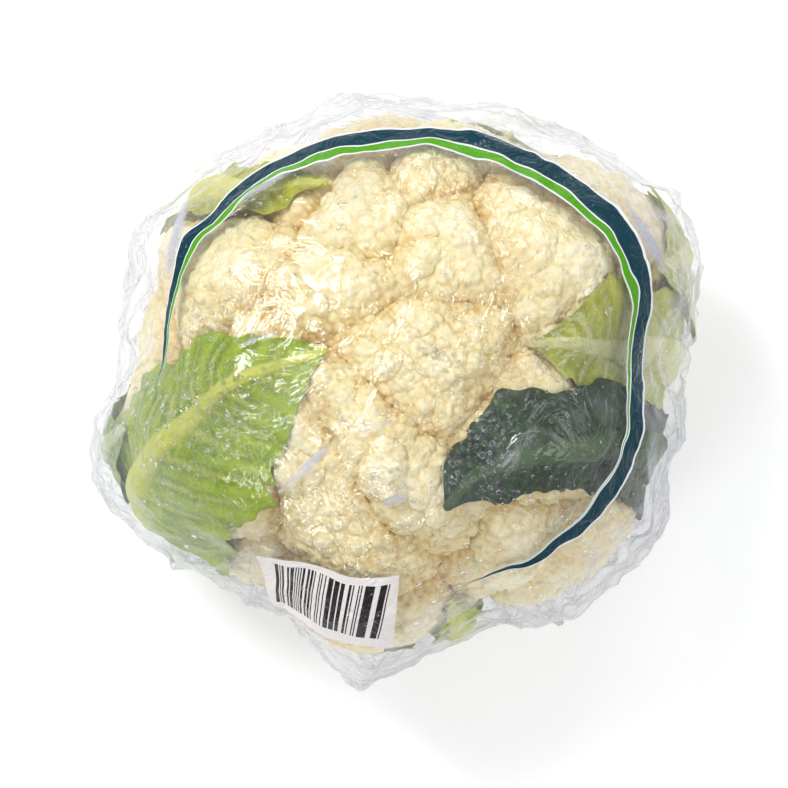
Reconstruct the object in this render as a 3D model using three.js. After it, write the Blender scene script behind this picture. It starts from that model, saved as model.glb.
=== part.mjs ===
// A head of cauliflower sold in clear film: one curd, its cut stalk, ten jacket leaves in two
// whorls, and a thin film wrap drawn round them and gathered underneath, round the butt.
// Millimetres. +Z runs up the stalk, +Y is away from the front of the head, and the origin lies on
// the surface that the head stands on, under the middle of the film.
import * as THREE from "three";

// ---- Driving dimensions ----
const HEART_Z = 48; // height of the heart: the curd and the film are measured out from this point
const STALK_RADIUS = 17;
const STALK_TOP_Z = 14.7;
const GAP = 0.4; // clearance kept between neighbouring pieces

const STRETCH_FADE = 1.6; // how soon an uneven outline rounds off above and below the heart

const FLORETS = 28;
const FLORET_LIMIT = THREE.MathUtils.degToRad(112); // florets reach this far down from the top
const FLORET_HEIGHT = 8; // from the bottom of a crease to the top of a floret
const FLORET_SPREAD = 0.39; // half the angle that one floret spans, in radians
const GOLDEN_ANGLE = Math.PI * (3 - Math.sqrt(5));
const CURD_DETAIL = 12; // subdivisions of the icosahedron that the curd is shaped from

const BLADE_THICKNESS = 1.0;
const RIB_AT_BASE = 5.5; // how far the midrib stands out of the blade, at the stalk
const RIB_AT_TIP = 0.2;
const RIB_SHARE_AT_BASE = 0.75; // half the rib's width, as a share of half the leaf's width
const RIB_SHARE_AT_TIP = 0.12;
const PETIOLE_HALF_WIDTH = 7;
const LEAF_STEPS_ALONG = 12;
const LEAF_STEPS_ACROSS = 6;

const FILM_THICKNESS = 0.5;
const FILM_HOLE_RADIUS = 30; // the gather under the head leaves the butt bare
const FILM_REST_RADIUS = 36; // the flat ring that the head stands on runs from the hole to here
const FILM_STEPS_ROUND = 56;
const FILM_STEPS_DOWN = 15;
const FILM_CROWN_CAP = 0.07; // the crown is closed by a fan of this half angle, in radians

// Meridian outlines as [distance from the axis, height], from the crown down.
const CURD_MERIDIAN = [
  [0, 106], [22, 103.5], [43, 94], [58, 78], [66, 60], [66, 48],
  [58, 36], [44, 26], [28, 19], [18, 16], [0, 16],
];
const FILM_MERIDIAN = [
  [0, 108.2], [22, 107.6], [45, 100], [61, 85], [70.5, 66], [72.5, 48],
  [69, 31], [60, 16], [47, 3.5], [32, -3], [0, -6],
];
// The bed that the leaves lie on, from the stalk's side up and over the curd.
const LEAF_BED = [
  [18.5, 7.5], [20.5, 12.5], [26, 16.5], [37, 21.5], [53, 30], [64, 42],
  [67.3, 56], [64, 71], [52.5, 88], [36, 99.5], [16, 106.2],
];

// Plan outlines at the level of the heart, as [x, y], anticlockwise.
const CURD_PLAN = [
  [65, 0], [64, 37], [35, 61], [0, 68], [-32, 56], [-58, 33.5], [-66, 0], [-58, -33.5],
  [-34, -51.5], [-9.5, -66.5], [16.5, -57.5], [43.5, -48.5], [61, -25],
];
const FILM_PLAN = [
  [73, 5], [80, 23], [77, 32], [78.5, 40], [58, 59], [34, 70], [2, 75], [-18.5, 73],
  [-26, 67.5], [-38, 64], [-56, 51.5], [-60, 46], [-66, 43.4], [-68.6, 34.6], [-71, 16],
  [-72.5, 2], [-80, -17.5], [-77, -28], [-64, -41.6], [-35, -56.4], [-14.5, -74.6],
  [-1.5, -75.4], [14, -65.5], [29, -61], [34, -63], [53, -53], [63, -43], [70, -33],
  [68, -27], [75, -14], [72, -3],
];

// Each leaf: its whorl, the azimuth of its base and of its tip in degrees, how far along the bed
// its tip lies (0 at the stalk, 1 at the crown), half its widest width, and how blunt its tip is.
const LEAVES = [
  { name: "leaf_right", whorl: "inner", base: 2, tip: 4, end: 0.86, half: 21, blunt: 2.4 },
  { name: "leaf_back", whorl: "inner", base: 70, tip: 66, end: 0.56, half: 17, blunt: 3.0 },
  { name: "leaf_back_left", whorl: "inner", base: 136, tip: 112, end: 0.75, half: 12, blunt: 1.8 },
  { name: "leaf_left", whorl: "inner", base: 209, tip: 175, end: 0.95, half: 28, blunt: 2.2 },
  { name: "leaf_front", whorl: "inner", base: 285, tip: 284, end: 0.7, half: 9, blunt: 1.6 },
  { name: "leaf_right_outer", whorl: "outer", base: 34, tip: 22, end: 0.62, half: 16, blunt: 2.4 },
  { name: "leaf_back_outer", whorl: "outer", base: 98, tip: 92, end: 0.5, half: 15, blunt: 3.0 },
  { name: "leaf_left_outer", whorl: "outer", base: 182, tip: 192, end: 0.6, half: 18, blunt: 2.4 },
  { name: "leaf_front_outer", whorl: "outer", base: 252, tip: 262, end: 0.5, half: 15, blunt: 2.6 },
  { name: "leaf_dark_outer", whorl: "outer", base: 342, tip: 304, end: 0.87, half: 21, blunt: 2.6 },
];

const MATERIALS = {
  curd: { color: 0xefe3bd, roughness: 0.75 },
  stalk: { color: 0xdfe3b4, roughness: 0.7 },
  inner: { color: 0xa9bd3f, roughness: 0.6 },
  outer: { color: 0x5d7d3c, roughness: 0.6 },
  film: { color: 0xf2f3f6, roughness: 0.2, transparent: true, opacity: 0.35 },
};

// ---- Shapes that the pieces share ----

// A list of [key, value] pairs in rising key order, read as a function with straight steps.
function lookUp(pairs) {
  return (key) => {
    const next = pairs.findIndex(([k]) => k >= key);
    if (next <= 0) return pairs[next === 0 ? 0 : pairs.length - 1][1];
    const [[k0, v0], [k1, v1]] = [pairs[next - 1], pairs[next]];
    return THREE.MathUtils.lerp(v0, v1, (key - k0) / (k1 - k0));
  };
}

// Distance from the heart to a meridian outline, for an angle measured from straight up.
function meridianReach(outline) {
  const curve = new THREE.SplineCurve(outline.map(([r, z]) => new THREE.Vector2(r, z - HEART_Z)));
  const pairs = curve.getPoints(300).map((p) => [Math.atan2(Math.max(p.x, 0), p.y), p.length()]);
  return lookUp(pairs.sort((a, b) => a[0] - b[0]));
}

// Distance from the axis to a closed plan outline, for an azimuth in radians.
function planReach(outline) {
  const points = outline.map(([x, y]) => new THREE.Vector3(x, y, 0));
  const curve = new THREE.CatmullRomCurve3(points, true, "centripetal");
  const once = curve.getPoints(720).map((p) => [Math.atan2(p.y, p.x), Math.hypot(p.x, p.y)]);
  const round = [-2 * Math.PI, 0, 2 * Math.PI].flatMap((turn) => once.map(([a, r]) => [a + turn, r]));
  return lookUp(round.sort((a, b) => a[0] - b[0]));
}

// How much a plan outline stretches a round meridian in one direction: fully at the heart's level,
// fading to nothing straight up and down.
function stretcher(plan, widest) {
  const reach = planReach(plan);
  return (dir) => 1 + (reach(Math.atan2(dir.y, dir.x)) / widest - 1) * (1 - dir.z ** 2) ** STRETCH_FADE;
}

const curdMeridian = meridianReach(CURD_MERIDIAN);
const filmMeridian = meridianReach(FILM_MERIDIAN);
const curdStretch = stretcher(CURD_PLAN, curdMeridian(Math.PI / 2));
const filmStretch = stretcher(FILM_PLAN, filmMeridian(Math.PI / 2));

// The way out from the heart, by its angle from straight up and its azimuth from +X.
function direction(theta, azimuth) {
  const level = Math.sin(theta);
  return new THREE.Vector3(level * Math.cos(azimuth), level * Math.sin(azimuth), Math.cos(theta));
}

// A closed skin over rings of points that run anticlockwise as seen from the first ring's side. The
// first and last rings are each closed by a fan from their middle.
function skin(rings) {
  const count = rings[0].length;
  const last = rings.length - 1;
  const points = rings.flat();
  const index = [];
  const at = (ring, k) => ring * count + (k % count);
  const middleOf = (ring) => {
    const sum = rings[ring].reduce((total, point) => total.add(point), new THREE.Vector3());
    return sum.divideScalar(count);
  };
  points.push(middleOf(0), middleOf(last));
  for (let k = 0; k < count; k += 1) {
    for (let ring = 0; ring < last; ring += 1) {
      index.push(at(ring, k), at(ring + 1, k), at(ring + 1, k + 1));
      index.push(at(ring, k), at(ring + 1, k + 1), at(ring, k + 1));
    }
    index.push(points.length - 2, at(0, k), at(0, k + 1));
    index.push(points.length - 1, at(last, k + 1), at(last, k));
  }
  return new THREE.BufferGeometry().setFromPoints(points).setIndex(index);
}

// ---- Curd: one solid, a dome of florets on a funnel of short branches ----
const floretAxes = Array.from({ length: FLORETS }, (_, i) => {
  const share = (i + 0.5) / FLORETS;
  return direction(Math.acos(1 - share * (1 - Math.cos(FLORET_LIMIT))), i * GOLDEN_ANGLE);
});

function curdReach(dir) {
  const nearest = Math.min(...floretAxes.map((axis) => axis.angleTo(dir)));
  const crown = Math.sqrt(Math.max(0, 1 - (nearest / FLORET_SPREAD) ** 2));
  const fade = THREE.MathUtils.smoothstep(dir.z, -0.75, -0.3);
  return curdMeridian(Math.acos(dir.z)) * curdStretch(dir) - FLORET_HEIGHT * (1 - crown) * fade;
}

function curdGeometry() {
  const geometry = new THREE.IcosahedronGeometry(1, CURD_DETAIL);
  const position = geometry.getAttribute("position");
  const dir = new THREE.Vector3();
  for (let i = 0; i < position.count; i += 1) {
    dir.fromBufferAttribute(position, i).normalize();
    // Corners shared by two triangles differ in their last digits until they are rounded.
    dir.set(...dir.toArray().map((c) => Math.round(c * 1e5) / 1e5)).normalize();
    const reach = curdReach(dir);
    position.setXYZ(i, dir.x * reach, dir.y * reach, HEART_Z + dir.z * reach);
  }
  return geometry;
}

// ---- Stalk: the butt left where the head was cut from the plant ----
function stalkGeometry() {
  const foot = FILM_THICKNESS + GAP;
  const outline = [
    [0, foot], [STALK_RADIUS - 2, foot], [STALK_RADIUS - 0.5, foot + 1.2], [STALK_RADIUS, foot + 5],
    [STALK_RADIUS - 0.6, STALK_TOP_Z - 3], [STALK_RADIUS - 1, STALK_TOP_Z], [0, STALK_TOP_Z],
  ].map(([r, z]) => new THREE.Vector2(r, z));
  return new THREE.LatheGeometry(outline, 24).rotateX(Math.PI / 2);
}

// ---- Leaves ----
const bed = new THREE.SplineCurve(LEAF_BED.map(([r, z]) => new THREE.Vector2(r, z)));

const ribHeight = (along) => THREE.MathUtils.lerp(RIB_AT_BASE, RIB_AT_TIP, Math.min(1, along * 1.7) ** 0.6);

// A point at an azimuth, a share of the way along the bed and a height above it.
function onBed(azimuth, along, height) {
  const foot = bed.getPoint(along);
  const tangent = bed.getTangent(along);
  const r = foot.x + tangent.y * height;
  const z = foot.y - tangent.x * height;
  const out = new THREE.Vector3(Math.cos(azimuth) * r, Math.sin(azimuth) * r, z - HEART_Z);
  out.multiplyScalar(curdStretch(out.clone().normalize()));
  return out.setZ(out.z + HEART_Z);
}

// Half the leaf's width at a share of its own length: a petiole that opens into a blade.
function halfWidth(leaf, share) {
  const opening = THREE.MathUtils.smoothstep(share, 0.12, 0.62);
  const blade = THREE.MathUtils.lerp(PETIOLE_HALF_WIDTH, leaf.half, opening);
  const past = Math.max(0, (share - 0.55) / 0.45);
  return Math.max(0.8, blade * (1 - past ** leaf.blunt) ** (1 / leaf.blunt));
}

function leafGeometry(leaf) {
  const rings = [];
  for (let i = 0; i <= LEAF_STEPS_ALONG; i += 1) {
    const share = i / LEAF_STEPS_ALONG;
    const along = share * leaf.end;
    const axis = THREE.MathUtils.degToRad(leaf.base + (leaf.tip - leaf.base) * share ** 2);
    const spread = halfWidth(leaf, share) / bed.getPoint(along).x;
    const lift = GAP + (leaf.whorl === "outer" ? BLADE_THICKNESS + ribHeight(along) + GAP : 0);
    const ribShare = THREE.MathUtils.lerp(RIB_SHARE_AT_BASE, RIB_SHARE_AT_TIP, Math.sqrt(share));
    const across = Array.from({ length: LEAF_STEPS_ACROSS + 1 }, (_, k) => 2 * (k / LEAF_STEPS_ACROSS) - 1);
    const inside = across.map((u) => onBed(axis + u * spread, along, lift));
    const outside = across.map((u) => {
      const rib = ribHeight(along) * Math.exp(-((u / ribShare) ** 2));
      return onBed(axis + u * spread, along, lift + BLADE_THICKNESS + rib);
    });
    rings.push([...inside, ...outside.reverse()]);
  }
  return skin(rings);
}

// ---- Film wrap: a thin bag, open under the butt and standing on the flat ring round that hole ----
function filmRing(theta, inset) {
  return Array.from({ length: FILM_STEPS_ROUND }, (_, k) => {
    const dir = direction(theta, (k / FILM_STEPS_ROUND) * 2 * Math.PI);
    const slack = filmMeridian(theta) * filmStretch(dir) - inset;
    const toFloor = dir.z < 0 ? (HEART_Z - inset) / -dir.z : Infinity;
    const point = dir.clone().multiplyScalar(Math.min(slack, toFloor));
    return point.setZ(point.z + HEART_Z);
  });
}

function filmWall(inset) {
  const restEdge = Math.PI - Math.atan2(FILM_REST_RADIUS, HEART_Z);
  const holeEdge = Math.PI - Math.atan2(FILM_HOLE_RADIUS, HEART_Z);
  const steps = Array.from({ length: FILM_STEPS_DOWN + 1 }, (_, i) => i / FILM_STEPS_DOWN);
  const thetas = steps.map((share) => THREE.MathUtils.lerp(FILM_CROWN_CAP, restEdge, share));
  return [...thetas, holeEdge].map((theta) => filmRing(theta, inset));
}

const filmGeometry = () => skin([...filmWall(0), ...filmWall(FILM_THICKNESS).reverse()]);

// ---- The whole head ----
function piece(name, geometry, look) {
  const mesh = new THREE.Mesh(geometry, new THREE.MeshStandardMaterial(MATERIALS[look]));
  mesh.name = name;
  return mesh;
}

const head = new THREE.Group();
head.add(piece("curd", curdGeometry(), "curd"));
head.add(piece("stalk", stalkGeometry(), "stalk"));
LEAVES.forEach((leaf) => head.add(piece(leaf.name, leafGeometry(leaf), leaf.whorl)));
head.add(piece("film_wrap", filmGeometry(), "film"));

// The outline is uneven, so the head is moved until its box is centred over the origin.
const middle = new THREE.Box3().setFromObject(head).getCenter(new THREE.Vector3());
head.position.set(-middle.x, -middle.y, 0);

export default head;
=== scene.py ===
"""Looks for a head of cauliflower in clear printed film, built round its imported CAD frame.

Shapes are worked out in millimetres, in the frame's own axes, and turned into metres when a mesh is
made. Most of them are star-shaped: a piece is known by how far out from the heart it lies in each
direction. The curd comes first, the leaves lie on it, and the film is drawn over both.
"""

import math

import bmesh
import bpy
import numpy as np
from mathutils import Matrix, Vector
from mathutils.bvhtree import BVHTree
from mathutils.kdtree import KDTree


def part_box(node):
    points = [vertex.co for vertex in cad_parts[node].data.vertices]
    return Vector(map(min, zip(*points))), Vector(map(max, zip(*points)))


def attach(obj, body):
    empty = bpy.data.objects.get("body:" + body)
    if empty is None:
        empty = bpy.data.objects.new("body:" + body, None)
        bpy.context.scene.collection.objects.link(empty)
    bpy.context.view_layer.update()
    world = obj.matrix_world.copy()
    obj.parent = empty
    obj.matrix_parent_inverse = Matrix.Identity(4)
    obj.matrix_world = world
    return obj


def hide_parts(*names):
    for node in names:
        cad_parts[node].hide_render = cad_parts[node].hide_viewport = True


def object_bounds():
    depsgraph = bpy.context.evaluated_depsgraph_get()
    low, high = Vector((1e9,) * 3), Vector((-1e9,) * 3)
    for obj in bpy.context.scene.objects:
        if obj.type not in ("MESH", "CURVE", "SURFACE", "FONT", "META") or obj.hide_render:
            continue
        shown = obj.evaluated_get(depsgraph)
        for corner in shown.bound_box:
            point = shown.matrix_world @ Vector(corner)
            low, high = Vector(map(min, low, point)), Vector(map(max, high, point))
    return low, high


MM = 0.001
GOLDEN_ANGLE = math.pi * (3 - math.sqrt(5))
OUTSIDE = 200.0  # farther out from the heart than anything on the head, in mm
STEEP = 0.3  # a unit direction that points down by more than this can meet the floor
HEART_HEIGHT = 48.0

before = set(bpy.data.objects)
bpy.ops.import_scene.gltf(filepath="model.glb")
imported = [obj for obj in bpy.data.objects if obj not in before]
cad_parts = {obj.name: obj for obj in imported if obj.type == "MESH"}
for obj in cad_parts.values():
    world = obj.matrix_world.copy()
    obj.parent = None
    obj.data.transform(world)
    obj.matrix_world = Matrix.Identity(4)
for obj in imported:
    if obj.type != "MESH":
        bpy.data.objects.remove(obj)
cad_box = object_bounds()
rng = np.random.default_rng(11)

curd_low, curd_high = (np.array(corner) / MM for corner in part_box("curd"))
HEART = np.array([(curd_low[0] + curd_high[0]) / 2, (curd_low[1] + curd_high[1]) / 2, HEART_HEIGHT])


# ---- Numbers ----
def unit(vectors):
    """Each row scaled to length 1."""
    return vectors / np.maximum(np.linalg.norm(vectors, axis=-1, keepdims=True), 1e-12)


def smooth(x, low, high):
    """0 below low, 1 above high and a smooth step between them."""
    t = np.clip((x - low) / (high - low), 0, 1)
    return t * t * (3 - 2 * t)


def waves(points, size, seed, count=18):
    """Smooth noise of about -1 to 1 whose features are about size across."""
    draw = np.random.default_rng(seed)
    ways = unit(draw.normal(size=(count, points.shape[-1]))) * draw.uniform(0.6, 1.5, (count, 1))
    phases = draw.uniform(0, 2 * math.pi, count)
    return np.sin(points @ ways.T * (math.pi / size) + phases).sum(-1) * math.sqrt(2 / count) * 0.6


def curve(points, shares):
    """A smooth line through a few points, sampled at shares of 0 to 1."""
    points = np.asarray(points, float)
    at = np.clip(shares, 0, 1) * (len(points) - 1)
    i = np.minimum(at.astype(int), len(points) - 2)
    t = (at - i)[:, None]
    before, after = points[np.maximum(i - 1, 0)], points[np.minimum(i + 2, len(points) - 1)]
    a, b = points[i], points[i + 1]
    start, end = (b - before) / 2, (after - a) / 2
    return (
        a * (2 * t**3 - 3 * t**2 + 1)
        + start * (t**3 - 2 * t**2 + t)
        + b * (3 * t**2 - 2 * t**3)
        + end * (t**3 - t**2)
    )


# ---- Skins ----
def geodesic(steps):
    """Unit directions and triangles of an icosahedron, each of its sides cut into steps."""
    ball = bmesh.new()
    bmesh.ops.create_icosphere(ball, subdivisions=1, radius=1)
    corners = np.array([[v.co[:] for v in f.verts] for f in ball.faces])
    ball.free()
    i, j = (grid.ravel() for grid in np.meshgrid(np.arange(steps + 1), np.arange(steps + 1)))
    inside = i + j <= steps
    i, j = i[inside], j[inside]
    number = np.full((steps + 2, steps + 2), -1)
    number[i, j] = np.arange(len(i))
    weights = np.stack([steps - i - j, i, j], 1) / steps
    up = i + j < steps
    a, b, c = number[i, j][up], number[i + 1, j][up], number[i, j + 1][up]
    down = i + j < steps - 1
    d, e, f = number[i + 1, j][down], number[i + 1, j + 1][down], number[i, j + 1][down]
    one = np.concatenate([np.stack([a, b, c], 1), np.stack([d, e, f], 1)])
    points = unit(np.einsum("wk,fkx->fwx", weights, corners).reshape(-1, 3))
    faces = (one[None] + (np.arange(len(corners)) * len(i))[:, None, None]).reshape(-1, 3)
    places = np.round(points * 1e5).astype(np.int64)
    _, first, same = np.unique(places, axis=0, return_index=True, return_inverse=True)
    return points[first], same.ravel()[faces]


def summed(values, index, count):
    """The sum of the rows of values that share an index."""
    if values.ndim == 1:
        return np.bincount(index, values, count)
    return np.stack([np.bincount(index, column, count) for column in values.T], 1)


def normals_of(points, faces):
    """Area-weighted normals at a mesh's corners."""
    a, b, c = (points[faces[:, k]] for k in range(3))
    across = np.cross(b - a, c - a)
    return unit(sum(summed(across, faces[:, k], len(points)) for k in range(3)))


def edges_of(faces):
    """Every edge of a triangle mesh in both directions, as (from, to)."""
    pairs = np.concatenate([faces[:, [0, 1]], faces[:, [1, 2]], faces[:, [2, 0]]])
    pairs = np.unique(np.sort(pairs, 1), axis=0)
    return np.concatenate([pairs, pairs[:, ::-1]])


def relaxed(values, edges, rounds):
    """Values evened out between neighbouring corners, each taking the mean of those round it."""
    size = np.bincount(edges[:, 0], minlength=len(values))
    for _ in range(rounds):
        values = summed(values[edges[:, 1]], edges[:, 0], len(values)) / size
    return values


def swollen(values, edges, rounds):
    """The largest value among the neighbours of each corner, taken again each round."""
    for _ in range(rounds):
        grown = values.copy()
        np.maximum.at(grown, edges[:, 0], values[edges[:, 1]])
        values = grown
    return values


def joined(solids):
    """The points and triangles of several meshes as one."""
    starts = np.cumsum([0] + [len(points) for points, _ in solids])
    points = np.concatenate([points for points, _ in solids])
    return points, np.concatenate([corners + start for (_, corners), start in zip(solids, starts)])


def tree_of(points, faces):
    """A mesh to cast rays at."""
    return BVHTree.FromPolygons(points.tolist(), faces.tolist())


def reach(tree, directions):
    """How far out from the heart the outermost skin is, in mm, for each direction."""
    found = np.zeros(len(directions))
    for k, way in enumerate(directions):
        start = HEART + way * OUTSIDE
        hit = tree.ray_cast(Vector(start), Vector(-way))[3]
        found[k] = OUTSIDE - hit if hit is not None else 0
    return found


def above_floor(ways, depth):
    """How far out each direction may go, in mm, before it is depth below the heart."""
    down = -ways[..., 2]
    return np.where(down > STEEP, depth / np.maximum(down, STEEP), OUTSIDE)


def cad_tree(node):
    """The CAD solid of a node, in mm, to cast rays at."""
    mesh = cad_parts[node].data
    points = [(v.co / MM)[:] for v in mesh.vertices]
    return BVHTree.FromPolygons(points, [list(p.vertices) for p in mesh.polygons])


def two_nearest(centres, points):
    """For each point, its nearest centre and the distances to it and to the second nearest."""
    tree = KDTree(len(centres))
    for k, centre in enumerate(centres):
        tree.insert(centre, k)
    tree.balance()
    found = [tree.find_n(p, 2) for p in points]
    return (
        np.array([f[0][1] for f in found]),
        np.array([f[0][2] for f in found]),
        np.array([f[1][2] for f in found]),
    )


def spread_over(points, faces, count, rounds):
    """Centres spread evenly over a surface: drawn by area, then each moved to the middle of its own."""
    a, b, c = (points[faces[:, k]] for k in range(3))
    area = np.linalg.norm(np.cross(b - a, c - a), axis=1)
    chosen = rng.choice(len(faces), count * 6, p=area / area.sum())
    samples = (a + b + c)[chosen] / 3
    centres = samples[:count]
    for _ in range(rounds):
        own = two_nearest(centres, samples)[0]
        size = np.bincount(own, minlength=count)
        moved = summed(samples, own, count) / np.maximum(size, 1)[:, None]
        centres = np.where(size[:, None] > 0, moved, centres)
    return centres


# ---- Meshes and materials ----
def new_object(name, points, faces, material, attributes=None):
    """A smooth-shaded mesh object from points in mm, with named numbers at its points."""
    mesh = bpy.data.meshes.new(name)
    mesh.from_pydata((np.asarray(points) * MM).tolist(), [], np.asarray(faces).tolist())
    mesh.polygons.foreach_set("use_smooth", [True] * len(mesh.polygons))
    for key, values in (attributes or {}).items():
        kind = "FLOAT_VECTOR" if np.ndim(values) == 2 else "FLOAT"
        layer = mesh.attributes.new(key, kind, "POINT")
        field = "vector" if kind == "FLOAT_VECTOR" else "value"
        layer.data.foreach_set(field, np.asarray(values, np.float32).ravel())
    mesh.materials.append(material)
    mesh.update()
    obj = bpy.data.objects.new(name, mesh)
    bpy.context.scene.collection.objects.link(obj)
    return obj


MIX_SOCKETS, MIX_RESULT = (0, 6, 7), 2  # the sockets that a Mix node uses for colours


class Nodes:
    """A material's node tree, built by short calls."""

    def __init__(self, name):
        self.material = bpy.data.materials.new(name)
        self.material.use_nodes = True
        self.tree = self.material.node_tree
        self.tree.nodes.clear()
        self.output = self.tree.nodes.new("ShaderNodeOutputMaterial")

    def add(self, kind, inputs=None, **settings):
        """A node with its settings, and with sockets set to values or linked to other sockets."""
        node = self.tree.nodes.new("ShaderNode" + kind)
        for key, value in settings.items():
            setattr(node, key, value)
        for key, value in (inputs or {}).items():
            if isinstance(value, bpy.types.NodeSocket):
                self.tree.links.new(value, node.inputs[key])
            else:
                node.inputs[key].default_value = value
        return node

    def math(self, operation, *values, clamp=False):
        """The result of a Math node."""
        return self.add("Math", dict(enumerate(values)), operation=operation, use_clamp=clamp).outputs[0]

    def within(self, value, low, high):
        """1 where value lies between two bounds, which may themselves vary."""
        above = self.math("GREATER_THAN", value, low)
        return self.math("MULTIPLY", above, self.math("LESS_THAN", value, high))

    def fading(self, value, start, end):
        """A smooth step from 0 at start to 1 at end."""
        sockets = {"Value": value, "From Min": start, "From Max": end}
        return self.add("MapRange", sockets, interpolation_type="SMOOTHSTEP").outputs[0]

    def attribute(self, name, vector=False):
        """A number or a vector that the mesh carries at its points."""
        return self.add("Attribute", attribute_name=name).outputs["Vector" if vector else "Fac"]

    def noise(self, scale, detail=3.0, rough=0.55, distortion=0.0, where=None):
        """A noise between 0 and 1 with scale features to the metre."""
        sockets = {
            "Vector": where or self.add("TexCoord").outputs["Object"],
            "Scale": scale,
            "Detail": detail,
            "Roughness": rough,
            "Distortion": distortion,
        }
        return self.add("TexNoise", sockets).outputs["Fac"]

    def ramp(self, value, stops):
        """A colour for each value, from (place, colour) stops."""
        node = self.add("ValToRGB", {"Fac": value})
        elements = node.color_ramp.elements
        while len(elements) < len(stops):
            elements.new(0.5)
        for element, (place, colour) in zip(elements, stops):
            element.position = place
            element.color = (*colour, 1)
        return node.outputs["Color"]

    def mix(self, share, first, second):
        """Two colours mixed by a share."""
        node = self.add("Mix", data_type="RGBA")
        factor, colour_a, colour_b = (node.inputs[k] for k in MIX_SOCKETS)
        for socket, value in ((factor, share), (colour_a, first), (colour_b, second)):
            if isinstance(value, bpy.types.NodeSocket):
                self.tree.links.new(value, socket)
            elif isinstance(value, tuple):
                socket.default_value = (*value, 1)
            else:
                socket.default_value = value
        return node.outputs[MIX_RESULT]

    def bump(self, height, distance, strength=1.0):
        """A normal tilted by a height of 0 to 1 that stands for distance metres."""
        sockets = {"Height": height, "Distance": distance, "Strength": strength}
        return self.add("Bump", sockets).outputs["Normal"]

    def finish(self, shader):
        """The material, with this shader on its surface."""
        self.tree.links.new(shader, self.output.inputs["Surface"])
        return self.material


def srgb(red, green, blue):
    """A colour given as it is seen, 0 to 255, in the linear numbers that shaders use."""
    seen = (red / 255, green / 255, blue / 255)
    return tuple(c / 12.92 if c <= 0.04045 else ((c + 0.055) / 1.055) ** 2.4 for c in seen)


# ---- Camera, light and floor ----
CAMERA_ELEVATION = math.radians(82)
CAMERA_DISTANCE = 1.1
IMAGE_WIDTH = 788
MM_PER_PIXEL = 0.26
SENSOR = 36.0
TARGET_BACK, TARGET_RISE = -0.0015, 0.44  # in m, and as a share of the head's height

SURROUND_COLOUR, SURROUND_STRENGTH = (0.93, 0.95, 1.0, 1), 0.45
LIGHT_AIM = (0, 0, 0.05)

# Square soft lights, as (name, place in m, size in m, watts).
LIGHTS = [
    ("key_light", (-0.5, 0.45, 0.95), 0.42, 7.8),
    ("front_light", (-0.45, -0.7, 0.9), 0.26, 2.4),
    ("fill_light", (0.75, -0.3, 0.8), 0.6, 2.6),
    ("back_light", (0.25, 0.9, 0.6), 0.3, 1.8),
]

FLOOR_REACH, FLOOR_LEVEL = 3000.0, -0.3


def make_camera():
    """Looks down on the crown, with the head's box a little above the middle of the view."""
    _, high = cad_box
    target = Vector((0.0, TARGET_BACK, high.z * TARGET_RISE))
    back = Vector((0, -math.cos(CAMERA_ELEVATION), math.sin(CAMERA_ELEVATION)))
    camera = bpy.data.objects.new("camera", bpy.data.cameras.new("camera"))
    camera.location = target + back * CAMERA_DISTANCE
    camera.rotation_mode = "QUATERNION"
    camera.rotation_quaternion = (-back).to_track_quat("-Z", "Y")
    camera.data.sensor_width = SENSOR
    camera.data.lens = SENSOR * CAMERA_DISTANCE / (IMAGE_WIDTH * MM_PER_PIXEL * MM)
    camera.data.clip_start = 0.05
    camera.data.clip_end = 20
    bpy.context.scene.collection.objects.link(camera)
    bpy.context.scene.camera = camera


def area_light(name, position, size, watts):
    """A square soft light that faces the head."""
    light = bpy.data.lights.new(name, "AREA")
    light.size = size
    light.energy = watts
    obj = bpy.data.objects.new(name, light)
    obj.location = position
    obj.rotation_mode = "QUATERNION"
    obj.rotation_quaternion = (Vector(LIGHT_AIM) - Vector(position)).to_track_quat("-Z", "Y")
    bpy.context.scene.collection.objects.link(obj)


def make_studio():
    """A white floor, a pale surround and soft lights, the strongest at the upper left."""
    world = bpy.data.worlds.new("surround")
    world.use_nodes = True
    background = world.node_tree.nodes["Background"].inputs
    background["Color"].default_value = SURROUND_COLOUR
    background["Strength"].default_value = SURROUND_STRENGTH
    bpy.context.scene.world = world
    bpy.context.scene.view_settings.view_transform = "Standard"

    for light in LIGHTS:
        area_light(*light)
    make_floor()


def make_floor():
    nodes = Nodes("floor_white")
    paper = nodes.noise(900, detail=2)
    shader = nodes.add(
        "BsdfPrincipled",
        {
            "Base Color": nodes.ramp(paper, [(0.3, (0.93, 0.93, 0.94)), (0.7, (0.96, 0.96, 0.965))]),
            "Roughness": 0.9,
            "Emission Color": (1, 1, 1, 1),
            "Emission Strength": 0.26,
        },
    )
    corners = [(-1, -1), (1, -1), (1, 1), (-1, 1)]
    points = [[x * FLOOR_REACH, y * FLOOR_REACH, FLOOR_LEVEL] for x, y in corners]
    new_object("floor", points, [[0, 1, 2, 3]], nodes.finish(shader.outputs[0]))


make_camera()
make_studio()

# ---- Curd: florets on the dome, lumps on the florets, knobs on the lumps and beads on the knobs ----
CURD_STEPS, DOME_STEPS = 98, 24
CURD_AREA = 55000.0  # in square mm, roughly
CROWNED = 0.2  # how much finer the skin is at the crown than below
CURD_SWELL, FILM_ROOM = 0.9, 2.2  # the share of the space under the film that it fills, and mm left over
SMOOTH_BELOW = (20, 34)  # the heights between which the relief sets in
FLORETS, FLORET_RELIEF, FLORET_SINK = 28, 8.0, 1.0
FLORET_LIMIT = math.radians(112)
FLORET_SHAPE = (0.95, 0.15, 0.5)  # as the last three of a layer

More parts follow.
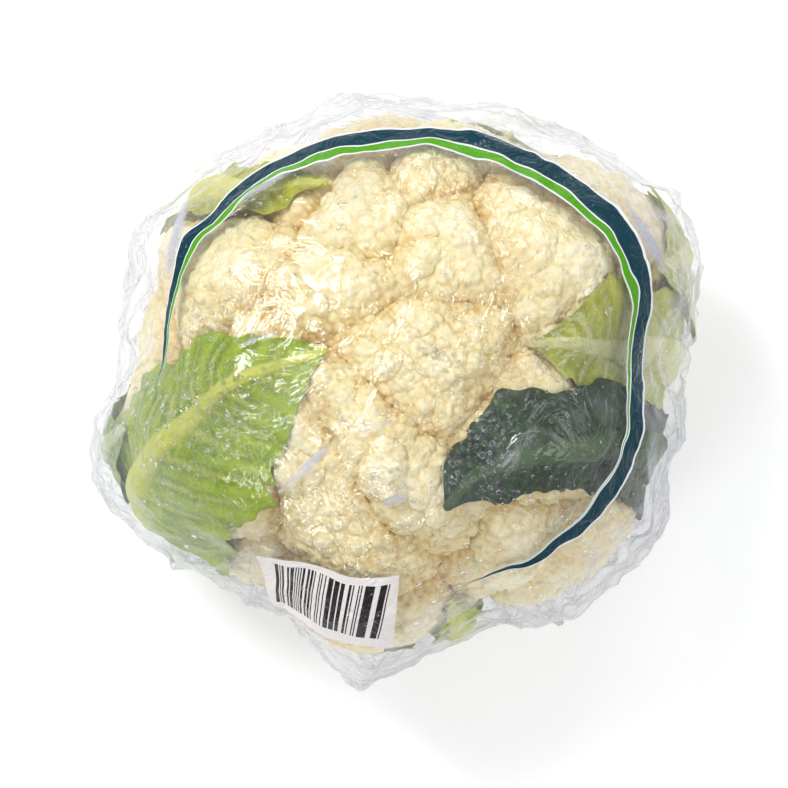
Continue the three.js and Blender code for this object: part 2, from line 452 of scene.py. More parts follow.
# The layers on the florets, each as its attribute's name, how many cobbles it has, rounds of spacing
# them out, relief in mm, the share of a cell that slopes, how uneven they are and how steep.
LAYERS = [
    ("lump_top", 300, 2, 1.5, 1.0, 0.5, 0.9),
    ("knob_top", 1800, 1, 0.9, 1.0, 0.6, 0.8),
    ("bead_top", 9000, 1, 0.72, 0.9, 0.4, 0.5),
]

# Cell borders wander by a share of a cell, over waves of a share of a cell.
STRAY, STRAY_SIZE, STRAY_SEED = 0.16, 0.8, 51


def floret_axes():
    """The florets stand on a golden-angle spiral from the crown down, as they grow."""
    k = np.arange(FLORETS)
    height = 1 - (k + 0.5) / FLORETS * (1 - math.cos(FLORET_LIMIT))
    level = np.sqrt(1 - height**2)
    return np.stack([level * np.cos(k * GOLDEN_ANGLE), level * np.sin(k * GOLDEN_ANGLE), height], 1)


def cobbles(points, centres, share, steep):
    """Round-topped cells: how high each point is, 0 in a crease to 1 on a top, and its cell."""
    cell = math.sqrt(CURD_AREA / len(centres))
    stray = np.stack([waves(points, cell * STRAY_SIZE, STRAY_SEED + k) for k in range(3)], 1)
    own, near, next_near = two_nearest(centres, points + stray * cell * STRAY)
    edge = np.clip((next_near - near) / (share * np.median(near + next_near)), 0, 1)
    return (1 - (1 - edge) ** 2) ** steep, own


def grow(points, faces, centres, relief, share, uneven, steep):
    """The surface with cobbles raised on it, and how high each point stands on its cobble."""
    top, own = cobbles(points, centres, share, steep)
    size = 1 + uneven * rng.uniform(-1, 1, len(centres))[own]
    fade = smooth(points[:, 2], *SMOOTH_BELOW)[:, None]
    return points + normals_of(points, faces) * (top * size)[:, None] * relief * fade, top


def curd_material():
    nodes = Nodes("curd_ivory")
    floret, lump, knob, bead = (nodes.attribute(key + "_top") for key in ("floret", "lump", "knob", "bead"))
    patches = nodes.noise(38, detail=4, rough=0.6)
    grain = nodes.noise(900, detail=3, rough=0.6)
    # Painted shade and highlight: darker tan in the creases between florets, lumps, knobs and beads,
    # near-white ivory on their tops; the patches are the curd's own uneven tone.
    tone_and_painted_shading = nodes.math("MULTIPLY_ADD", lump, 0.1, nodes.math("MULTIPLY", floret, 0.34))
    tone_and_painted_shading = nodes.math("MULTIPLY_ADD", knob, 0.16, tone_and_painted_shading)
    tone_and_painted_shading = nodes.math("MULTIPLY_ADD", bead, 0.3, tone_and_painted_shading)
    tone_and_painted_shading = nodes.math("MULTIPLY_ADD", patches, 0.62, nodes.math("SUBTRACT", tone_and_painted_shading, 0.28))
    # The stops run from the painted shade of the deepest creases to the painted highlight on the tops.
    colour = nodes.ramp(
        tone_and_painted_shading,
        [
            (0.05, srgb(176, 128, 52)),
            (0.28, srgb(216, 180, 104)),
            (0.5, srgb(238, 219, 162)),
            (0.72, srgb(246, 236, 196)),
            (0.95, srgb(250, 245, 222)),
        ],
    )
    fine = nodes.add(
        "TexVoronoi",
        {"Vector": nodes.add("TexCoord").outputs["Object"], "Scale": 720.0, "Randomness": 1.0},
        feature="SMOOTH_F1",
    ).outputs["Distance"]
    height = nodes.math("MULTIPLY_ADD", fine, -1.1, nodes.math("MULTIPLY", grain, 0.7))
    shader = nodes.add(
        "BsdfPrincipled",
        {
            "Base Color": colour,
            "Roughness": 0.55,
            "Subsurface Weight": 0.25,
            "Subsurface Radius": (1.0, 0.6, 0.3),
            "Subsurface Scale": 0.0015,
            "Normal": nodes.bump(height, 0.0006, 0.85),
        },
    )
    return nodes.finish(shader.outputs[0])


def crowned(ways):
    """Directions drawn up towards the crown."""
    angle = np.arccos(np.clip(ways[:, 2], -1, 1))
    angle = angle - CROWNED * np.sin(angle)
    level = unit(np.concatenate([ways[:, :2], np.zeros((len(ways), 1))], 1))
    ways = level * np.sin(angle)[:, None]
    ways[:, 2] = np.cos(angle)
    return ways


def smooth_dome():
    """The CAD curd with its creases filled in, so that the florets start from a smooth dome."""
    ways, faces = geodesic(DOME_STEPS)
    edges = edges_of(faces)
    outline = swollen(reach(cad_tree("curd"), ways), edges, rounds=4)
    return tree_of(HEART + ways * relaxed(outline, edges, rounds=8)[:, None], faces)


def make_curd():
    ways, faces = geodesic(CURD_STEPS)
    ways = crowned(ways)
    dome = smooth_dome()
    room = sum((relief for _, _, _, relief, *_ in LAYERS), FLORET_RELIEF)
    below = smooth(ways[:, 2], -0.7, -0.2)
    start = reach(dome, ways)
    spare = np.maximum(reach(cad_tree("film_wrap"), ways) - start - FILM_ROOM, 0)
    swell = CURD_SWELL * spare * smooth(ways[:, 2], -0.45, 0.05)
    points = HEART + ways * (start + swell - room * below)[:, None]

    tops = {}
    axes = floret_axes()
    centres = HEART + axes * (reach(dome, axes) - FLORET_SINK - room)[:, None]
    points, tops["floret_top"] = grow(points, faces, centres, FLORET_RELIEF, *FLORET_SHAPE)
    for name, count, rounds, *shape in LAYERS:
        centres = spread_over(points, faces, count, rounds)
        points, tops[name] = grow(points, faces, centres, *shape)

    obj = new_object("curd_florets", points, faces, curd_material(), tops)
    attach(obj, "root")
    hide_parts("curd")
    return points, faces


curd_points, curd_faces = make_curd()


# ---- Stalk: the butt, with a lobed outline, ledges where lower leaves were cut away and a cut foot ----
STALK_ROUND, STALK_ROWS = 96, 46
LOBE_DEPTH, LEDGE_DEPTH = 0.045, 0.02


def stalk_material():
    nodes = Nodes("stalk_cut")
    where = nodes.add("TexCoord").outputs["Object"]
    drawn_out = nodes.add("Mapping", {"Vector": where, "Scale": (1.0, 1.0, 0.15)}).outputs[0]
    fibres = nodes.noise(260, detail=4, where=drawn_out)
    spots = nodes.noise(70, detail=5, rough=0.65)
    colour = nodes.ramp(
        nodes.math("MULTIPLY_ADD", spots, 0.6, nodes.math("MULTIPLY", fibres, 0.4)),
        [
            (0.32, srgb(176, 160, 98)),
            (0.45, srgb(205, 208, 150)),
            (0.6, srgb(226, 228, 184)),
            (0.75, srgb(238, 236, 208)),
        ],
    )
    shader = nodes.add(
        "BsdfPrincipled",
        {
            "Base Color": colour,
            "Roughness": 0.48,
            "Subsurface Weight": 0.15,
            "Subsurface Radius": (1.0, 0.7, 0.3),
            "Subsurface Scale": 0.001,
            "Normal": nodes.bump(nodes.math("ADD", fibres, spots), 0.0007),
        },
    )
    return nodes.finish(shader.outputs[0])


def strips(rows, columns, closed):
    """Triangles between rows of points, each row a ring where closed."""
    spans = columns if closed else columns - 1
    row, k = (grid.ravel() for grid in np.meshgrid(np.arange(rows - 1), np.arange(spans), indexing="ij"))
    after = (k + 1) % columns
    a, b = row * columns + k, row * columns + after
    c, d = (row + 1) * columns + after, (row + 1) * columns + k
    return np.concatenate([np.stack([a, b, c], 1), np.stack([a, c, d], 1)])


def make_stalk():
    low, high = (np.array(corner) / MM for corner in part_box("stalk"))
    middle, radius, height = (low + high) / 2, (high[0] - low[0]) / 2, high[2] - low[2]
    turn = np.arange(STALK_ROUND) / STALK_ROUND * 2 * math.pi

    # From the foot up, as (share of the radius, mm above the foot). The foot's middle is sunk a little.
    outline = [[0, 0.9], [0.5, 0.7], [0.86, 0], [0.97, 1.2], [1, 5], [0.97, 9], [0.93, height], [0, height]]
    outline = curve(outline, np.linspace(0, 1, STALK_ROWS))
    rings = []
    for share, rise in outline[1:-1]:
        lobes = LOBE_DEPTH * np.abs(np.sin(turn * 2.5 + rise * 0.05))
        ledges = LEDGE_DEPTH * smooth(np.sin(turn * 5 + rise), 0, 1)
        spread = max(share, 0.0) * radius * (1 - lobes - ledges)
        level = np.full(STALK_ROUND, low[2] + max(rise, 0))
        ring = [middle[0] + spread * np.cos(turn), middle[1] + spread * np.sin(turn), level]
        rings.append(np.stack(ring, 1))
    ends = [[middle[0], middle[1], low[2] + outline[end, 1]] for end in (0, -1)]
    points = np.concatenate([*rings, ends])

    k = np.arange(STALK_ROUND)
    after = (k + 1) % STALK_ROUND
    foot = np.full(STALK_ROUND, len(points) - 2)
    last = len(points) - 2 - STALK_ROUND
    faces = np.concatenate([
        strips(len(rings), STALK_ROUND, closed=True),
        np.stack([after, k, foot], 1),
        np.stack([last + k, last + after, foot + 1], 1),
    ])
    obj = new_object("cut_stalk", points, faces, stalk_material())
    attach(obj, "root")
    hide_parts("stalk")
    return points, faces


# ---- Leaves: each lies on what is under it, from its base by the stalk to its tip ----
LEAF_STEPS = (150, 76)  # along the midrib and across the blade
MARGIN_CROWDING = 1.15  # how much closer the points across a blade are at its midrib
LEAF_REACH = 66.0  # how far from the heart a leaf's lengths and widths are measured
LEAF_DEPTH, INNERMOST = 46.8, 4.0  # no leaf is lower than this under the heart, or nearer to it
LEAF_CLEARANCE = 0.5
BED_STEPS = 44

RAGGED = ((0.13, 0.12), (0.05, 0.03))  # the margin's waves, as shares of the width and of the length
RIGHT_SEED = 40
RIB_WIDTH, RIB_HEIGHT = (8.0, 1.3), (5.5, 0.55)  # what is lost towards the tip, and what stays there
VEIN_PITCH, VEIN_SWEEP, VEIN_WANDER = 8.5, 0.85, 0.16
VEIN_HEIGHT, PUFF_HEIGHT, RUFFLE_HEIGHT = 0.4, 0.42, 1.3
CRINKLES = ((5.0, 0.22), (2.2, 0.1))  # sizes and heights
BLADE_THICKNESS, MARGIN_THICKNESS = 0.55, 0.12

# Routes are (azimuth, angle from the crown) in degrees, and widths are in mm to the left and the right
# of the midrib as it runs to the tip, all at even steps from base to tip. Lift is in mm.
LEAVES = {
    "leaf_left": {
        "route": [(216, 150), (213, 122), (210, 96), (204, 76), (198, 56), (190, 38), (179, 18)],
        "left": [6, 9, 14, 18, 19, 15, 0.5],
        "right": [6, 11, 22, 29, 30, 22, 0.5],
        "lift": [0, 2, 1.5, 1.2, 0.8, 0.4, 0.2],
        "look": "lime", "slot": "pale_leaf", "whorl": 0, "seed": 3,
    },
    "leaf_right": {
        "route": [(0, 150), (1, 122), (3, 96), (4, 70), (3, 52), (4, 33)],
        "left": [6, 9, 16, 21, 17, 0.5],
        "right": [6, 9, 14, 17, 16, 0.5],
        "lift": [0, 2, 1.5, 0.8, 0.4, 0.2],
        "look": "pale", "slot": "pale_leaf", "whorl": 0, "seed": 4,
    },
    "leaf_back_left": {
        "route": [(141, 150), (140, 120), (138, 93), (133, 69), (123, 56), (111, 51)],
        "left": [5, 8, 11, 9, 7, 0.5],
        "right": [5, 8, 10, 9, 8, 0.5],
        "lift": [0, 3, 3, 1, 0.4, 0.2],
        "look": "yellow", "slot": "pale_leaf", "whorl": 0, "seed": 5,
    },
    "leaf_back": {
        "route": [(72, 150), (70, 120), (68, 98), (66, 86), (65, 78)],
        "left": [6, 10, 15, 13, 0.5],
        "right": [6, 10, 14, 14, 0.5],
        "lift": [0, 3, 3, 1, 0.3],
        "look": "pale", "slot": "pale_leaf", "whorl": 0, "seed": 6,
    },
    "leaf_front": {
        "route": [(286, 150), (286, 120), (285, 98), (284, 84), (283, 73)],
        "left": [5, 7, 8, 5, 0.5],
        "right": [5, 7, 8, 6, 0.5],
        "lift": [0, 3, 3, 1, 0.3],
        "look": "lime", "slot": "pale_leaf", "whorl": 0, "seed": 7,
    },
    "leaf_right_outer": {
        "route": [(34, 150), (32, 122), (27, 100), (23, 84), (21, 71)],
        "left": [6, 10, 16, 15, 0.5],
        "right": [6, 10, 15, 13, 0.5],
        "lift": [0, 2, 3, 2, 0.4],
        "look": "pale", "slot": "green_leaf", "whorl": 1, "seed": 8,
    },
    "leaf_back_outer": {
        "route": [(100, 150), (98, 122), (96, 106), (95, 96)],
        "left": [6, 11, 14, 0.5],
        "right": [6, 11, 13, 0.5],
        "lift": [0, 2, 2, 0.4],
        "look": "green", "slot": "green_leaf", "whorl": 1, "seed": 9,
    },
    "leaf_left_outer": {
        "route": [(186, 150), (188, 122), (192, 102), (194, 88), (192, 74)],
        "left": [6, 9, 15, 13, 0.5],
        "right": [6, 9, 13, 12, 0.5],
        "lift": [0, 2, 1, 0.6, 0.4],
        "look": "green", "slot": "green_leaf", "whorl": 1, "seed": 10,
    },
    "leaf_front_outer": {
        "route": [(258, 150), (260, 122), (264, 104), (266, 92)],
        "left": [6, 10, 13, 0.5],
        "right": [6, 10, 13, 0.5],
        "lift": [0, 2, 2, 0.4],
        "look": "green", "slot": "green_leaf", "whorl": 1, "seed": 12,
    },
    "leaf_dark_outer": {
        "route": [(342, 150), (342, 122), (342, 96), (342, 71), (337, 55), (325, 41), (305, 36), (287, 39)],
        "left": [6, 9, 13, 13, 11, 10, 9, 0.5],
        "right": [6, 10, 14, 11, 15, 17, 11, 0.5],
        "lift": [0, 2, 1.2, 0.6, 0.5, 0.4, 0.3, 0.2],
        "look": "dark", "slot": "dark_leaf", "whorl": 1, "seed": 13,
    },
}

LEAF_LOOKS = {
    "yellow": (srgb(160, 164, 4), srgb(194, 196, 18), srgb(214, 212, 52), srgb(226, 224, 110)),
    "lime": (srgb(122, 152, 0), srgb(166, 192, 4), srgb(208, 218, 52), srgb(218, 222, 100)),
    "pale": (srgb(168, 176, 24), srgb(198, 202, 64), srgb(220, 220, 108), srgb(236, 236, 168)),
    "green": (srgb(112, 142, 70), srgb(142, 168, 98), srgb(172, 192, 128), srgb(214, 222, 172)),
    "dark": (srgb(16, 38, 18), srgb(34, 66, 28), srgb(78, 116, 34), srgb(74, 104, 52)),
}


def leaf_material(look):
    deep, middle, light, rib = LEAF_LOOKS[look]
    nodes = Nodes("leaf_" + look)
    vein, margin, painted_groove_shade = (nodes.attribute(key) for key in ("vein", "margin", "painted_groove_shade"))
    patches = nodes.noise(60, detail=4, rough=0.6)
    mottle = nodes.noise(420, detail=3, rough=0.6)
    net = nodes.add(
        "TexVoronoi",
        {"Vector": nodes.add("TexCoord").outputs["Object"], "Scale": 420.0},
        feature="DISTANCE_TO_EDGE",
    ).outputs["Distance"]
    threads = nodes.math("SUBTRACT", 1.0, nodes.math("MULTIPLY", net, 7.0, clamp=True))
    tone_and_painted_shading = nodes.math("MULTIPLY_ADD", patches, 0.8, nodes.math("MULTIPLY", mottle, 0.25))
    # Painted shade: the blade is darker where it sinks along its side veins.
    tone_and_painted_shading = nodes.math("MULTIPLY_ADD", painted_groove_shade, -0.25, tone_and_painted_shading)
    blade = nodes.ramp(tone_and_painted_shading, [(0.3, deep), (0.52, middle), (0.74, light)])
    pale = nodes.math("MULTIPLY_ADD", threads, 0.22, vein, clamp=True)
    colour = nodes.mix(pale, blade, rib)
    colour = nodes.mix(nodes.math("MULTIPLY", margin, 0.35), colour, middle)
    height = nodes.math("MULTIPLY_ADD", threads, 0.5, nodes.math("MULTIPLY", mottle, 0.6))
    normal = nodes.bump(height, 0.0003, 0.8)
    skin = nodes.add(
        "BsdfPrincipled",
        {
            "Base Color": colour,
            "Roughness": nodes.math("MULTIPLY_ADD", patches, 0.25, 0.3),
            "Specular IOR Level": 0.45,
            "Coat Weight": 0.12,
            "Coat Roughness": 0.35,
            "Normal": normal,
        },
    )
    through = nodes.add("BsdfTranslucent", {"Color": colour})
    both = nodes.add("MixShader", {0: 0.22, 1: skin.outputs[0], 2: through.outputs[0]})
    return nodes.finish(both.outputs[0])


def direction(azimuths, angles):
    """Unit directions from azimuths and angles from the crown, in degrees."""
    azimuths, angles = np.radians(azimuths), np.radians(angles)
    level = np.sin(angles)
    return np.stack([level * np.cos(azimuths), level * np.sin(azimuths), np.cos(angles)], 1)


def bed_of(solids):
    """A smooth skin over everything laid so far, which the next leaves lie on."""
    ways, faces = geodesic(BED_STEPS)
    edges = edges_of(faces)
    out = reach(tree_of(*joined(solids)), ways)
    out = relaxed(swollen(out, edges, rounds=1), edges, rounds=2)
    return tree_of(HEART + ways * out[:, None], faces)


def blurred(grid, rounds):
    """A grid of numbers evened out along both of its ways."""
    for _ in range(rounds):
        for axis in (0, 1):
            padded = np.concatenate([grid.take([0], axis), grid, grid.take([-1], axis)], axis)
            n = grid.shape[axis]
            grid = (padded.take(range(n), axis) + 2 * grid + padded.take(range(2, n + 2), axis)) / 4
    return grid


def half_widths(plan, share):
    """The blade's widths to the left and the right of its midrib, with a ragged margin."""
    torn = smooth(share, 0.2, 0.45)
    widths = []
    for side, seed in (("left", plan["seed"]), ("right", plan["seed"] + RIGHT_SEED)):
        coarse, fine = (depth * waves(share[:, None], size, seed) for depth, size in RAGGED)
        widths.append(curve([[x] for x in plan[side]], share) * (1 + (coarse + fine) * torn)[:, None])
    return widths


def side_veins(distance, offset, outward, seed):
    """How near each point is to a side vein, 0 to 1, and the blade's puff between veins, -0.5 to 0.5."""
    sweep = distance - VEIN_SWEEP * np.abs(offset) ** 0.93 + np.where(offset > 0, VEIN_PITCH / 2, 0)
    flat = np.stack([distance + 0 * offset, offset], -1)
    phase = sweep / VEIN_PITCH + VEIN_WANDER * waves(flat, 16, seed + 7)
    past = phase - np.round(phase)
    width = 0.75 - 0.4 * outward
    near = np.exp(-((np.abs(past) * VEIN_PITCH * 0.72 / width) ** 2))
    return near * (1 - 0.75 * outward**2), np.cos(2 * math.pi * past) * 0.5


def blade_faces(along, across):
    """Triangles of a blade's outer and inner sides and of the margin between them."""
    number = np.arange(2 * along * across).reshape(2, along, across)
    outer = strips(along, across, closed=False)
    edge = np.concatenate([
        number[:, :-1, 0], number[:, -1, :-1], number[:, :0:-1, -1], number[:, 0, :0:-1]
    ], 1)
    following = np.roll(edge, -1, 1)
    return np.concatenate([
        outer[:, ::-1],
        outer + along * across,
        np.stack([edge[0], edge[1], following[1]], 1),
        np.stack([edge[0], following[1], following[0]], 1),
    ])


def make_leaf(name, plan, bed):
    along, across = LEAF_STEPS
    seed = plan["seed"]
    share = np.linspace(0, 1, along)
    ways = unit(curve(direction(*np.array(plan["route"], float).T), share))
    to_left = unit(np.cross(ways, np.gradient(ways, axis=0)))
    steps = np.linalg.norm(np.diff(ways, axis=0), axis=1)
    distance = (np.cumsum(np.concatenate([[0], steps])) * LEAF_REACH)[:, None]
    left, right = half_widths(plan, share)
    lift = curve([[x] for x in plan["lift"]], share)

    u = np.linspace(-1, 1, across)
    u = np.sign(u) * np.abs(u) ** MARGIN_CROWDING
    offset = np.where(u > 0, left * u, right * u)  # mm from the midrib
    outward = np.abs(offset) / np.maximum(np.where(offset > 0, left, right), 1)
    out = unit(ways[:, None, :] + to_left[:, None, :] * (offset / LEAF_REACH)[..., None])
    height = reach(bed, out.reshape(-1, 3)).reshape(along, across)
    height = np.maximum(blurred(height, rounds=3), height - 0.3)

    opened = smooth(share, 0.22, 0.42)[:, None]
    vein, puff = side_veins(distance, offset, outward, seed)
    vein = vein * opened
    left_to_go = (1 - share)[:, None]
    rib_width = RIB_WIDTH[0] * left_to_go**1.4 + RIB_WIDTH[1]
    rib_height = RIB_HEIGHT[0] * left_to_go**1.7 + RIB_HEIGHT[1]
    rib = np.sqrt(np.maximum(0, 1 - (offset / rib_width) ** 2))

    flat = np.stack([distance + 0 * offset, offset], -1)
    blade = -PUFF_HEIGHT * puff * opened * (1 - outward**2)
    for k, (size, rise) in enumerate(CRINKLES):
        blade = blade + waves(flat, size, seed + 11 + k) * rise
    ruffle = np.maximum(0, waves(flat, 9.0, seed + 13)) * smooth(outward, 0.6, 1.0) * RUFFLE_HEIGHT
    top = height + LEAF_CLEARANCE + lift + rib * rib_height
    top = top + blade * (1 - rib) + vein * VEIN_HEIGHT + ruffle * opened
    top = np.minimum(top, above_floor(out, LEAF_DEPTH))
    thickness = BLADE_THICKNESS * (1 - outward**4) + MARGIN_THICKNESS + rib * (rib_height * 0.9 + 0.3)
    bottom = np.maximum(top - thickness, INNERMOST)

    points = HEART + np.stack([out * top[..., None], out * bottom[..., None]]).reshape(-1, 3)
    faces = blade_faces(along, across)
    marks = {
        "vein": np.clip(np.maximum(rib**0.7, vein * 0.75), 0, 1),
        "margin": smooth(outward, 0.8, 1.0),
        # The last mark is where the blade sinks along a side vein, which the leaf's colour darkens as
        # painted shade.
        "painted_groove_shade": np.clip(0.5 + puff, 0, 1),
    }
    marks = {key: np.tile(value.ravel(), 2) for key, value in marks.items()}
    obj = new_object(name + "_blade", points, faces, leaf_materials[plan["look"]], marks)
    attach(obj, "root")
    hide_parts(name)
    return points, faces


laid = [(curd_points, curd_faces), make_stalk()]
leaf_materials = {look: leaf_material(look) for look in LEAF_LOOKS}
for whorl in (0, 1):
    bed = bed_of(laid)
    laid += [make_leaf(name, plan, bed) for name, plan in LEAVES.items() if plan["whorl"] == whorl]


# ---- Film: taut over the crown, slack round the sides and gathered in pleats round the butt ----
FILM_STEPS = 68
FILM_THICKNESS = 0.06
FILM_CLEARANCE = 0.15
HOLE_RADIUS = 30.0
HOLE_ANGLE = math.pi - math.atan2(HOLE_RADIUS, HEART_HEIGHT)
TAUT_TO, SLACK_FROM = math.radians(34), math.radians(74)
LOOSE_BELOW = math.radians(48), math.radians(84)
FOLD_REACH = 70.0  # how far from the heart the sizes of folds are measured

PLEATS = 64
PLEAT_HEIGHT, PLEAT_WIDTH, PLEAT_START, PLEAT_DRIFT = (0.8, 2.4), (0.03, 0.055), (0.95, 1.8), 0.12
GATHER_DEPTH = 3.8  # how much farther the pleats stand out by the gather
VALLEY_DEPTH = 5.5  # how far the film between them is drawn up under the head
CRUMPLE_SEED = 32
RUMPLE = 1.2

RING_CENTRE, RING_RADIUS = (0.0, -2.5), 67.2
RING_WAVER = 3.4
RING_SEAM = -90.0  # where the ring's turn starts, in degrees
PANEL_AZIMUTH, PANEL_REACH, PANEL_TURN = 254.0, 74.5, -5.0
PANEL_ACROSS, PANEL_DOWN = (-22.5, 20.5), (-11.5, 12.0)
BARS_ACROSS, BARS_DOWN = (-18.0, 18.0), (-9.5, 8.6)
BAR_MODULE = 0.38
BAR_LEAN = 0.12  # how far the bars drift across for each mm down

GREEN_INK, DARK_INK, WHITE_INK = srgb(84, 158, 22), srgb(14, 58, 70), srgb(232, 236, 236)
PANEL_INK, BAR_INK = srgb(232, 226, 222), srgb(30, 28, 30)
# The film's milky colour, which also paints the white glare along the creases.
MILK_AND_GLARE, MILK_AND_GLARE_THROUGH = (*srgb(222, 224, 236), 1), (*srgb(216, 219, 234), 1)

# Creases that show on the crown, as (start, end, height, width) in mm on plan.
CREASES = [
    ((-31, -36), (-13, -21), 1.1, 2.0),
    ((-12, -21), (2, -17), 0.9, 1.6),
    ((-5, -38), (4, -35), 0.9, 2.6),
    ((33, -18), (24, -31), 0.9, 1.1),
    ((-45, 36), (-23, 50), 1.1, 1.7),
    ((-41, 1), (-27, 5), 0.9, 1.1),
    ((-64, -22), (-44, -4), 0.55, 2.4),
    ((-58, -42), (-40, -30), 0.55, 2.6),
    ((38, 8), (62, 14), 0.5, 2.4),
    ((20, -48), (52, -36), 0.5, 2.4),
    ((-20, -50), (6, -60), 0.5, 2.4),
    ((-52, 46), (-58, 18), 1.1, 3.0),
    ((10, 58), (44, 50), 1.0, 2.6),
    ((56, 44), (68, 20), 1.2, 3.0),
    ((-8, 20), (14, 34), 0.35, 1.6),
    ((4, -2), (22, -10), 0.35, 1.4),
]

STRAY_CREASES = 90
CREASE_GLARE_FROM = 0.4  # painted white glare lies only where a ridge rises above this, in mm


def ring_print(nodes, x, y):
    """A dark band with a thin green one inside it and white round both, thinning at its ends."""
    x, y = nodes.math("SUBTRACT", x, RING_CENTRE[0]), nodes.math("SUBTRACT", y, RING_CENTRE[1])
    radius = nodes.math("SQRT", nodes.math("MULTIPLY_ADD", x, x, nodes.math("MULTIPLY", y, y)))
    waver = nodes.math("MULTIPLY", nodes.math("SUBTRACT", nodes.noise(70, detail=2), 0.5), RING_WAVER)
    out = nodes.math("SUBTRACT", nodes.math("ADD", radius, waver), RING_RADIUS)
    turn = nodes.math("DEGREES", nodes.math("ARCTAN2", y, x))
    turn = nodes.math("WRAP", turn, 360.0 + RING_SEAM, RING_SEAM)

    ended = nodes.math("SUBTRACT", 1.0, nodes.fading(turn, 170.0, 188.0))
    swell = nodes.math("MULTIPLY", nodes.fading(turn, -76.0, -28.0), ended)
    thinner = nodes.math("MULTIPLY_ADD", nodes.fading(turn, 110.0, 172.0), -0.7, 1.0)
    swell = nodes.math("MULTIPLY", swell, thinner)
    leafy = nodes.math("MULTIPLY", nodes.fading(turn, -30.0, 40.0), swell)

    def band(inner_leafy, inner, outer):
        """Where the ring is between two bounds, in mm, that thin with it."""
        low = nodes.math("MULTIPLY_ADD", leafy, inner_leafy, nodes.math("MULTIPLY", swell, inner))
        return nodes.within(out, low, nodes.math("MULTIPLY", swell, outer))

    return band(-2.3, -1.3, 5.3), band(-2.2, -0.9, -0.75), band(0.0, -0.3, 4.6)


def panel_print(nodes, x, y):
    """A plain panel, and on it bars of made-up widths."""
    lean, azimuth = math.radians(PANEL_TURN), math.radians(PANEL_AZIMUTH)
    middle = PANEL_REACH * math.cos(azimuth), PANEL_REACH * math.sin(azimuth)
    x, y = nodes.math("SUBTRACT", x, middle[0]), nodes.math("SUBTRACT", y, middle[1])
    across = nodes.math(
        "MULTIPLY_ADD", x, math.cos(lean), nodes.math("MULTIPLY", y, math.sin(lean))
    )
    down = nodes.math(
        "MULTIPLY_ADD", x, math.sin(lean), nodes.math("MULTIPLY", y, -math.cos(lean))
    )
    panel = nodes.math("MULTIPLY", nodes.within(across, *PANEL_ACROSS), nodes.within(down, *PANEL_DOWN))
    across = nodes.math("MULTIPLY_ADD", down, BAR_LEAN, across)
    module = nodes.math("FLOOR", nodes.math("DIVIDE", across, BAR_MODULE))
    chance = nodes.add(
        "TexWhiteNoise", {"W": nodes.math("ADD", module, 0.5)}, noise_dimensions="1D"
    ).outputs["Value"]
    bars = nodes.math("MULTIPLY", nodes.within(across, *BARS_ACROSS), nodes.within(down, *BARS_DOWN))
    return panel, nodes.math("MULTIPLY", bars, nodes.math("GREATER_THAN", chance, 0.5))


def film_haze_and_painted_glare(nodes, slack, facing):
    """How milky the film is: in patches, on folds, where it is slack or seen edge on, and on creases, where
    its white is painted glare.
    """
    fog = nodes.math("SUBTRACT", nodes.noise(30, detail=4, rough=0.6), 0.5)
    haze_and_painted_glare = nodes.math("MULTIPLY", nodes.math("MAXIMUM", fog, 0.0), 0.4)
    on_folds = nodes.math("MULTIPLY_ADD", slack, 0.24, 0.04)
    folded = nodes.math("MULTIPLY", nodes.math("POWER", facing, 2.5), on_folds)
    haze_and_painted_glare = nodes.math("MULTIPLY_ADD", slack, 0.075, nodes.math("ADD", haze_and_painted_glare, folded))
    edge_on = nodes.add("LayerWeight", {"Blend": 0.5}).outputs["Facing"]
    haze_and_painted_glare = nodes.math("MULTIPLY_ADD", nodes.math("POWER", edge_on, 3.0), 0.3, haze_and_painted_glare)
    # Painted highlight: white haze along the ridges of the creases stands in for glare.
    painted_glare = nodes.math("MULTIPLY", nodes.attribute("crease_glare"), nodes.noise(160, detail=3))
    painted_glare = nodes.math("SUBTRACT", painted_glare, 0.04, clamp=True)
    haze_and_painted_glare = nodes.math("MULTIPLY_ADD", painted_glare, 3.0, haze_and_painted_glare)
    return nodes.math("ADD", haze_and_painted_glare, 0.008, clamp=True)


